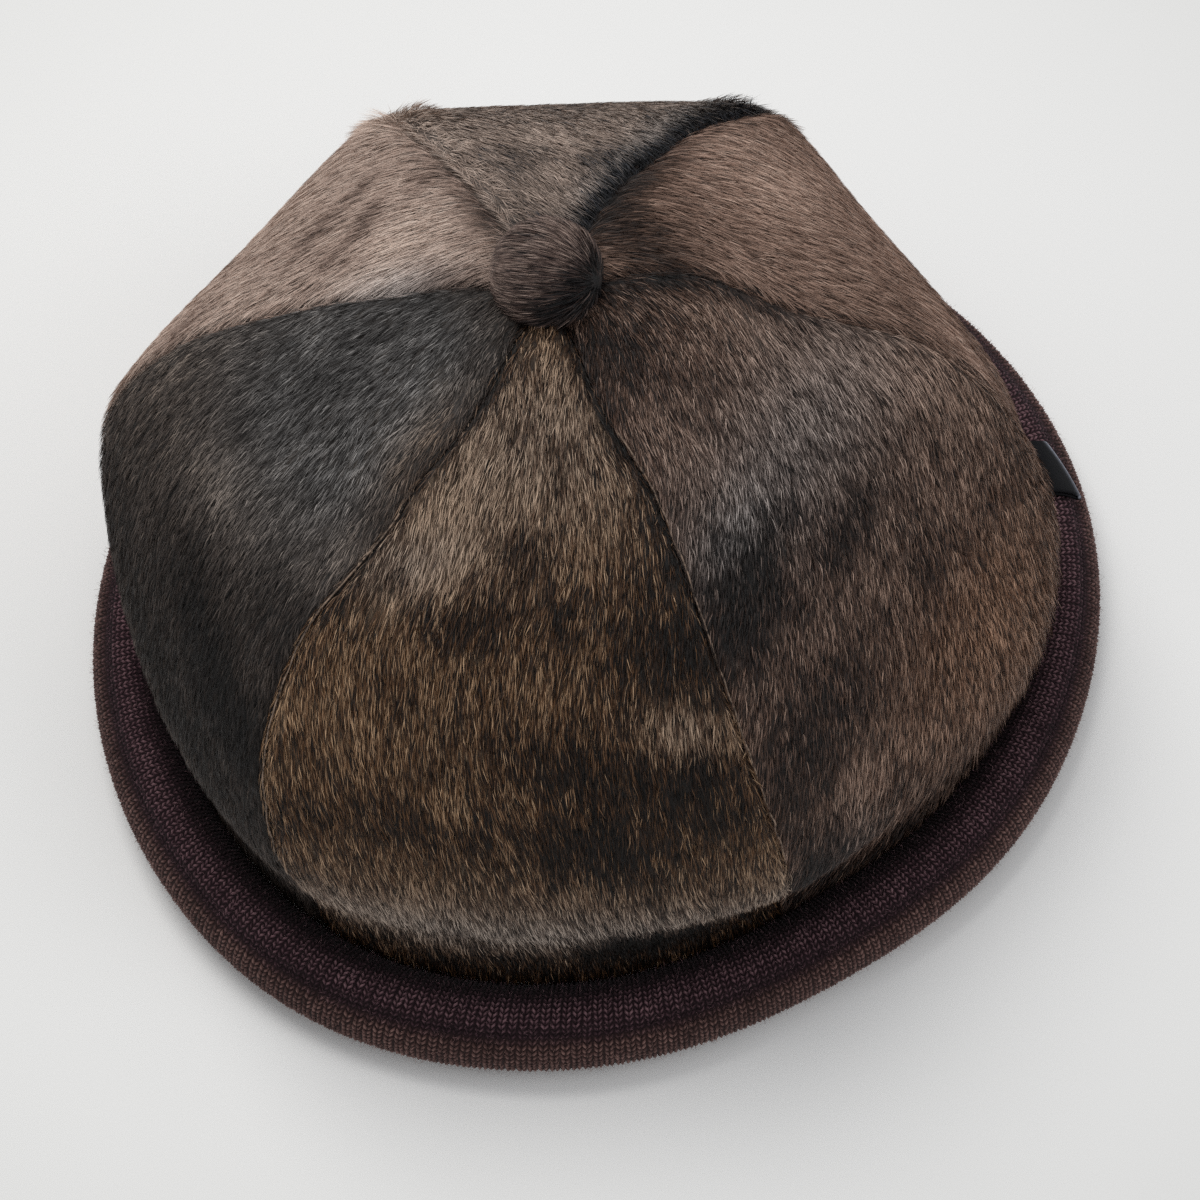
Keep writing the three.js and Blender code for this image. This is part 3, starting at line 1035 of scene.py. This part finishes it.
def make_button_hide(draw):
    """The dome under the button's hair, closed below."""
    segments, rows = BUTTON_GRID["segments"], BUTTON_GRID["rows"]
    rise, bearing = np.meshgrid(
        np.linspace(0, BUTTON_GRID["last_row"], rows),
        np.linspace(0, 2 * math.pi, segments, endpoint=False),
        indexing="ij",
    )
    dome = button_point(bearing.ravel(), rise.ravel(), BUTTON_BED_DEPTH)
    top = button_point(0, math.pi / 2, BUTTON_BED_DEPTH)
    points = np.vstack([dome, top, BUTTON_AXIS])
    faces = [tuple(face) for face in grid_faces(rows, segments, close_columns=True)[:, ::-1]]
    last_row = (rows - 1) * segments
    top_number = rows * segments
    for number in range(segments):
        following = (number + 1) % segments
        faces.append((last_row + number, last_row + following, top_number))
        faces.append((following, number, top_number + 1))
    skin = hide_finish("hide_button", BUTTON_SHADES)
    hide = make_object("button_hide", points, faces, skin, smooth=False)
    set_attribute(hide, "tone", "POINT", button_tone(points, draw))
    place(hide, "hide_button", "top_button")


def make_button_hair(draw):
    """Hair that lies round the dome, away from the pinch."""
    count = int(2 * math.pi * BUTTON["radius"] * BUTTON["height"] * BUTTON_HAIR["density"])
    bearing = draw.uniform(0, 2 * math.pi, count)
    rise = np.arcsin(draw.uniform(0.0, 1, count)) * BUTTON_HAIR["climb"] + BUTTON_HAIR["lowest"]
    root = button_point(bearing, rise, BUTTON_BED_DEPTH)
    normal = button_normal(bearing, rise)
    pinch = button_point(BUTTON_PINCH["bearing"], BUTTON_PINCH["rise"], 0)
    away = unit(root - pinch + BUTTON_HAIR["spread"] * draw.standard_normal((count, 3)))
    direction = laid_down(away, normal)
    length = BUTTON_HAIR["length"] * draw.uniform(*HAIR["lengths"], count)
    # How far the dome falls away under a hair.
    bend = 0.5 * length**2 / BUTTON["radius"]
    loft = draw.uniform(*BUTTON_HAIR["lofts"], count) - bend
    width = BUTTON_HAIR["width"] * draw.uniform(*HAIR["widths"], count)
    coat = hair_finish("hair_button", BUTTON_SHADES, BUTTON_HAIR["root"])
    hair = hair_mesh("button_hair", root, direction, normal, length, loft, width, draw, coat, bend / 4)
    set_attribute(hair, "tone", "FACE", button_tone(root, draw))
    place(hair, "hide_button")


button_draw = np.random.default_rng(DRAW_SEEDS["button"])
make_button_hide(button_draw)
make_button_hair(button_draw)


# Knit roll: stitches in columns round the roll's section, on a plain ring. Angles run up from the outside.
# The ring's low tone is painted shade in the gaps between the stitches.
KNIT_RING = {"steps": 168, "sides": 32, "tone": 0.1}
KNIT = {"columns": 316, "row": 1.22, "bed": 0.5, "crest": 0.55, "first": -56.0, "last": 190.0}
KNIT_CREASE = {"angle": math.radians(53), "half_width": math.radians(11), "depth": 0.9}
# Painted shade on the roll's inner side under the crown, and in its crease.
KNIT_PAINTED_SHADE = {"angles": np.radians([100, 124]), "change": 0.34, "crease": 0.2}
# Painted highlight along the top of the roll's upper lobe.
KNIT_PAINTED_HIGHLIGHT = {"angle": math.radians(86), "half_width": math.radians(13), "change": 0.1}
KNIT_UNDER = {"full_below": math.radians(36), "none_above": math.radians(54)}
KNIT_FUZZ = {
    "count": 20000,
    "angles": (-40, 190),
    "root": 0.2,
    "length": 1.5,
    "lengths": (0.5, 1.3),
    "lying": 0.7,
    "lofts": (0.2, 0.9),
    "width": 0.05,
    "tones": (0.4, 1.0),
}
STITCH = {
    "jitter": 0.035,
    "heights": (0.8, 1.15),
    "tone": 0.5,
    "chance": 0.06,
    "mottle": 0.06,
    "mottle_size": 6,
}
# Corners of a stitch's right leg, its crest last: along the roll and round it as shares of the pitch,
# height as a share of the crest's, and change of tone: painted shade round it, painted highlight on the
# crest.
STITCH_LEG = (
    (0.05, -0.75, -0.1, -0.32),
    (0.44, 0.05, 0.1, -0.22),
    (0.4, 0.75, -0.1, -0.32),
    (0.01, -0.05, 0.1, -0.22),
    (0.23, 0.0, 1.0, 0.2),
)


def in_crease(angle):
    """1 at the bottom of the crease round the roll, 0 away from it."""
    return bell(angle - KNIT_CREASE["angle"], KNIT_CREASE["half_width"])


def roll_point(bearing, angle, height):
    """Points of the roll: bearing round the cap, angle round the section, height over the bed."""
    thickness = ROLL_RADIUS - KNIT["bed"] - KNIT_CREASE["depth"] * in_crease(angle) + height
    radius = roll_path_radius(bearing) + thickness * np.cos(angle)
    level = np.maximum(ROLL_CENTRE_HEIGHT + thickness * np.sin(angle), 0.0)
    return np.stack([radius * np.cos(bearing), radius * np.sin(bearing), level], axis=-1)


def knit_finish():
    """Fine dark knit, browner where the roll turns under."""
    finish = Finish("knit")
    tone = finish.attribute("tone")
    under = finish.attribute("under")
    fibre = finish.noise(scale=2600.0, detail=4.0, roughness=0.7)
    top = finish.ramp(tone, [(0.0, srgb(7, 4, 5)), (0.4, srgb(58, 39, 45)), (1.0, srgb(150, 116, 121))])
    turned = finish.ramp(tone, [(0.0, srgb(13, 8, 8)), (0.4, srgb(78, 56, 53)), (1.0, srgb(168, 133, 124))])
    colour = finish.mixed(under, top, turned)
    loose_fibre = ((fibre - 0.5) * 0.8).clamped()
    fuzzy = finish.mixed(loose_fibre, colour, srgb(96, 80, 78))
    return finish.surface(
        Base_Color=fuzzy,
        Roughness=0.92,
        Specular_IOR_Level=0.1,
        Sheen_Weight=0.06,
        Sheen_Roughness=0.5,
        Normal=finish.bump(fibre, strength=0.6, distance=0.0004),
    )


def under_share(angle):
    """How far the knit has turned under, and so browner."""
    return 1 - smoothstep(angle, KNIT_UNDER["full_below"], KNIT_UNDER["none_above"])


def make_knit_bed(material):
    """The closed ring under the stitches."""
    steps, sides = KNIT_RING["steps"], KNIT_RING["sides"]
    flat = math.asin(ROLL_FLAT_WIDTH / 2 / ROLL_RADIUS)
    bearing, angle = np.meshgrid(
        np.linspace(0, 2 * math.pi, steps, endpoint=False),
        np.linspace(-math.pi / 2 + flat, 3 * math.pi / 2 - flat, sides),
        indexing="ij",
    )
    points = roll_point(bearing.ravel(), angle.ravel(), 0)
    faces = grid_faces(steps, sides, close_rows=True, close_columns=True)
    ring = make_object("knit_ring", points, faces, material)
    # Painted shade between the stitches.
    set_attribute(ring, "tone", "POINT", np.full(len(points), KNIT_RING["tone"]))
    set_attribute(ring, "under", "POINT", under_share(angle.ravel()))
    place(ring, "knit", "knit_roll")


def make_stitches(material):
    """Two raised legs for each stitch, with a face from each side of a leg's outline to its crest."""
    draw = np.random.default_rng(DRAW_SEEDS["stitches"])
    column_pitch = 2 * math.pi / KNIT["columns"]
    row_pitch = KNIT["row"] / ROLL_RADIUS
    first, last = np.radians([KNIT["first"], KNIT["last"]])
    rows = np.arange(first, last, row_pitch)
    columns = np.arange(KNIT["columns"]) * column_pitch
    bearing, angle, side = (grid.ravel() for grid in np.meshgrid(columns, rows, (-1, 1), indexing="ij"))
    count = len(bearing)
    leg_along, leg_round, leg_height, leg_painted_shading = np.array(STITCH_LEG).T
    corners = len(STITCH_LEG)
    jitter = draw.normal(0, STITCH["jitter"], (count, 1, 2))
    sideways = side[:, None] * leg_along + jitter[:, :, 0]
    onward = leg_round + jitter[:, :, 1]
    height = KNIT["crest"] * leg_height * draw.uniform(*STITCH["heights"], (count, 1))
    points = roll_point(
        (bearing[:, None] + sideways * column_pitch).ravel(),
        (angle[:, None] + onward * row_pitch).ravel(),
        height.ravel(),
    )
    start = np.arange(count)[:, None] * corners
    crest = start + corners - 1
    faces = []
    for low, high in ((0, 1), (1, 2), (2, 3), (3, 0)):
        right_turn = np.concatenate([start + low, start + high, crest], axis=1)
        left_turn = np.concatenate([start + high, start + low, crest], axis=1)
        faces.append(np.where(side[:, None] > 0, right_turn, left_turn))
    stitches = make_object("knit_stitches", points, np.concatenate(faces), material)
    mottle = soft_noise(points[::corners], STITCH["mottle_size"], NOISE_SEEDS["knit"])
    tone = STITCH["tone"] + STITCH["chance"] * draw.standard_normal(count) + STITCH["mottle"] * mottle
    # Painted shade on the inner side and in the crease.
    tone -= KNIT_PAINTED_SHADE["change"] * smoothstep(angle, *KNIT_PAINTED_SHADE["angles"])
    # Painted highlight on the upper lobe.
    tone += KNIT_PAINTED_HIGHLIGHT["change"] * bell(angle - KNIT_PAINTED_HIGHLIGHT["angle"], KNIT_PAINTED_HIGHLIGHT["half_width"])
    tone -= KNIT_PAINTED_SHADE["crease"] * in_crease(angle)
    set_attribute(stitches, "tone", "POINT", np.clip(tone[:, None] + leg_painted_shading, 0, 1))
    set_attribute(stitches, "under", "POINT", np.repeat(under_share(angle), corners))
    cell_layout_by_island(stitches, corners)
    place(stitches, "knit")


def make_fuzz(material):
    """Loose fibres that stand a little out of the knit."""
    draw = np.random.default_rng(DRAW_SEEDS["fuzz"])
    count = KNIT_FUZZ["count"]
    bearing = draw.uniform(0, 2 * math.pi, count)
    angle = np.radians(draw.uniform(*KNIT_FUZZ["angles"], count))
    root = roll_point(bearing, angle, KNIT_FUZZ["root"])
    outside = roll_point(bearing, angle, 1.0)
    normal = unit(outside - root)
    direction = laid_down(draw.standard_normal((count, 3)), normal)
    length = KNIT_FUZZ["length"] * draw.uniform(*KNIT_FUZZ["lengths"], count)
    loft = length * draw.uniform(*KNIT_FUZZ["lofts"], count)
    width = np.full(count, KNIT_FUZZ["width"])
    lying = length * KNIT_FUZZ["lying"]
    fuzz = hair_mesh("knit_fuzz", root, direction, normal, lying, loft, width, draw, material)
    set_attribute(fuzz, "tone", "FACE", draw.uniform(*KNIT_FUZZ["tones"], count))
    set_attribute(fuzz, "under", "FACE", under_share(angle))
    place(fuzz, "knit")


knit = knit_finish()
make_knit_bed(knit)
make_stitches(knit)
make_fuzz(knit)


# Ribbon tab: two plies folded at the outer end, lying on the roll. Its angles are round the roll's section.
TAB = {
    "bearing": math.radians(12.8),
    "width": 16.0,
    "ply": 0.7,
    "space": 0.4,
    "root": math.radians(122),
    "upper_root": math.radians(117),
    "fold": math.radians(72),
    "fold_turn": math.radians(11),
    "skew": 3.0,
    "lift": 0.35,
}
TAB_GRID = {"width": 20, "arc": 16, "fold": 9}
# Painted highlight along the fold: share of the ribbon's length where it is palest, and its half width.
TAB_PAINTED_HIGHLIGHT = {"at": 0.57, "half_width": 0.035}
# Length of the ribbon in the layout of its ribs.
TAB_WEAVE_LENGTH = 30


def ribbon_finish():
    """Black woven ribbon with fine ribs and a painted highlight along its fold."""
    finish = Finish("ribbon")
    across = finish.node("ShaderNodeUVMap", {"uv_map": "weave"})
    rib_sockets = {"Vector": across, "Scale": 9.0, "Distortion": 0.4}
    ribs = finish.node("ShaderNodeTexWave", {"bands_direction": "X"}, rib_sockets, "Fac")
    fold = finish.attribute("fold")
    dust_and_highlight_noise = finish.noise(scale=1400.0)
    cloth = finish.mixed(dust_and_highlight_noise, srgb(5, 5, 7), srgb(20, 21, 25))
    painted_fold_highlight = (fold * (dust_and_highlight_noise + 0.35)).clamped()
    # Painted highlight: the fold catches the light in a pale blue-grey.
    colour = finish.mixed(painted_fold_highlight, cloth, srgb(150, 154, 166))
    return finish.surface(
        Base_Color=colour,
        Roughness=0.6,
        Specular_IOR_Level=0.15,
        Normal=finish.bump(ribs, strength=0.4, distance=0.0002),
    )


def on_circle(angle):
    return np.stack([np.cos(angle), np.sin(angle)], axis=-1)


def tab_section(across, lower, upper):
    """Path of the ribbon over the roll: out on the lower ply, round the fold, back on the upper."""
    fold_angle = TAB["fold"] + TAB["fold_turn"] * across * 2
    down = np.linspace(TAB["root"], fold_angle, TAB_GRID["arc"])
    back = np.linspace(fold_angle, TAB["upper_root"], TAB_GRID["arc"])
    turn = np.linspace(fold_angle - math.pi, fold_angle, TAB_GRID["fold"])[1:-1]
    fold_middle = on_circle(fold_angle) * (lower + upper) / 2
    lift = TAB["lift"] * np.sin(np.linspace(0, math.pi, TAB_GRID["arc"])) * (1 - (2 * across) ** 2)
    return np.concatenate([
        lower * on_circle(down),
        fold_middle + (upper - lower) / 2 * on_circle(turn),
        (upper + lift)[:, None] * on_circle(back),
    ])


def lay_weave(tab, share, steps):
    """Flat layout of the ribbon, in millimetres, that its ribs follow on both faces."""
    length = np.linspace(0, TAB_WEAVE_LENGTH, steps)
    spread = np.stack(np.meshgrid(share * TAB["width"], length, indexing="ij"), axis=-1)
    flat = np.concatenate([spread.reshape(-1, 2)] * 2)
    corner_points = np.zeros(len(tab.data.loops), int)
    tab.data.loops.foreach_get("vertex_index", corner_points)
    weave = tab.data.uv_layers.new(name="weave")
    weave.data.foreach_set("uv", flat[corner_points].astype(np.float32).ravel())


def make_tab():
    """The ribbon as one closed wall along its folded path, its fold a little askew."""
    lower = ROLL_RADIUS + SEAM_GAP + TAB["ply"] / 2
    upper = lower + TAB["ply"] + TAB["space"]
    share = np.linspace(-0.5, 0.5, TAB_GRID["width"])
    path = np.array([tab_section(across, lower, upper) for across in share])
    steps = path.shape[1]
    tangent = unit(np.gradient(path, axis=1))
    outward = np.stack([tangent[..., 1], -tangent[..., 0]], axis=-1) * TAB["ply"] / 2
    from_fold = np.abs(np.linspace(-1, 1, steps))
    sideways = share[:, None] * TAB["width"] + TAB["skew"] * (from_fold - 0.5)
    bearing = TAB["bearing"] + sideways / (RIM_MEAN_RADIUS + lower)

    def on_roll(section):
        radius = roll_path_radius(bearing) + section[..., 0]
        x = radius * np.cos(bearing)
        y = radius * np.sin(bearing)
        return np.stack([x, y, ROLL_CENTRE_HEIGHT + section[..., 1]], axis=-1)

    tab = wall_mesh("ribbon_tab", on_roll(path + outward), on_roll(path - outward), ribbon_finish())
    # Painted highlight along the fold.
    painted_fold_highlight = bell(np.linspace(0, 1, steps) - TAB_PAINTED_HIGHLIGHT["at"], TAB_PAINTED_HIGHLIGHT["half_width"])
    both_faces = 2 * TAB_GRID["width"]
    set_attribute(tab, "fold", "POINT", np.tile(painted_fold_highlight, both_faces))
    lay_weave(tab, share, steps)
    place(tab, "ribbon", "side_tab")


make_tab()


# Camera, floor and light
WORLD = {"colour": (0.98, 0.985, 1.0, 1.0), "strength": 0.6}
# Lights: name, place and target in metres, breadth in metres, power in watts, colour.
LIGHTS = (
    ("key", (-0.35, 0.5, 1.25), (0, 0, 0.06), 0.85, 8, (1.0, 0.99, 0.97)),
    ("fill", (0.8, -0.4, 0.8), (0.1, 0, 0.05), 0.8, 2.2, (0.95, 0.97, 1.0)),
)
# Table, with a painted pool of light near the cap: paleness at the middle, its fall to a metre, its rise to a
# metre at the back.
TABLE = {
    "half": 2000,
    "grey": (217, 217, 215),
    "painted_light": (241, 241, 240),
    "middle": 1.3,
    "fall": 5.0,
    "back": 1.2,
    "mottle": 0.3,
}


def set_camera():
    elevation = CAMERA["elevation"]
    forward = Vector((0, math.cos(elevation), -math.sin(elevation)))
    level_right = Vector((1, 0, 0))
    level_up = level_right.cross(forward)
    roll = CAMERA["roll"]
    right = level_right * math.cos(roll) + level_up * math.sin(roll)
    up = level_up * math.cos(roll) - level_right * math.sin(roll)
    place_mm = Vector(CAMERA["target"]) - forward * CAMERA["distance"]
    data = bpy.data.cameras.new("camera")
    data.sensor_width = CAMERA["sensor"]
    data.lens = CAMERA["sensor"] * CAMERA["focal_pixels"] / CAMERA["image_pixels"]
    camera = bpy.data.objects.new("camera", data)
    axes = Matrix((right, up, -forward)).transposed().to_4x4()
    camera.matrix_world = Matrix.Translation(place_mm * MM) @ axes
    bpy.context.scene.collection.objects.link(camera)
    bpy.context.scene.camera = camera


def area_light(name, place_m, target_m, size, power, colour):
    data = bpy.data.lights.new(name, "AREA")
    data.shape = "DISK"
    data.size = size
    data.energy = power
    data.color = colour
    light = bpy.data.objects.new(name, data)
    light.location = place_m
    light.rotation_euler = (Vector(target_m) - Vector(place_m)).to_track_quat("-Z", "Y").to_euler()
    bpy.context.scene.collection.objects.link(light)


def set_light():
    world = bpy.data.worlds.new("studio")
    world.use_nodes = True
    background = world.node_tree.nodes["Background"]
    background.inputs["Color"].default_value = WORLD["colour"]
    background.inputs["Strength"].default_value = WORLD["strength"]
    bpy.context.scene.world = world
    for light in LIGHTS:
        area_light(*light)


def make_floor():
    finish = Finish("table")
    spot = finish.node("ShaderNodeTexCoord", output="Object")
    from_middle = finish.node("ShaderNodeVectorMath", {"operation": "LENGTH"}, {0: spot}, "Value")
    towards_back = finish.node("ShaderNodeSeparateXYZ", {}, {0: spot}, "Y")
    mottle = (finish.noise(scale=3.0) - 0.5) * TABLE["mottle"]
    # Painted light: paler near the cap and towards the back, greyer further out.
    share = TABLE["middle"] - from_middle * TABLE["fall"] + towards_back * TABLE["back"] + mottle
    colour = finish.mixed(share.clamped(), srgb(*TABLE["grey"]), srgb(*TABLE["painted_light"]))
    material = finish.surface(Base_Color=colour, Roughness=0.5)
    half = TABLE["half"]
    corners = [(-half, -half, 0), (half, -half, 0), (half, half, 0), (-half, half, 0)]
    floor = make_object("table", corners, [(0, 1, 2, 3)], material)


set_camera()
set_light()
make_floor()
bpy.context.scene.view_settings.view_transform = "Standard"
bpy.context.scene.cycles.use_denoising = False
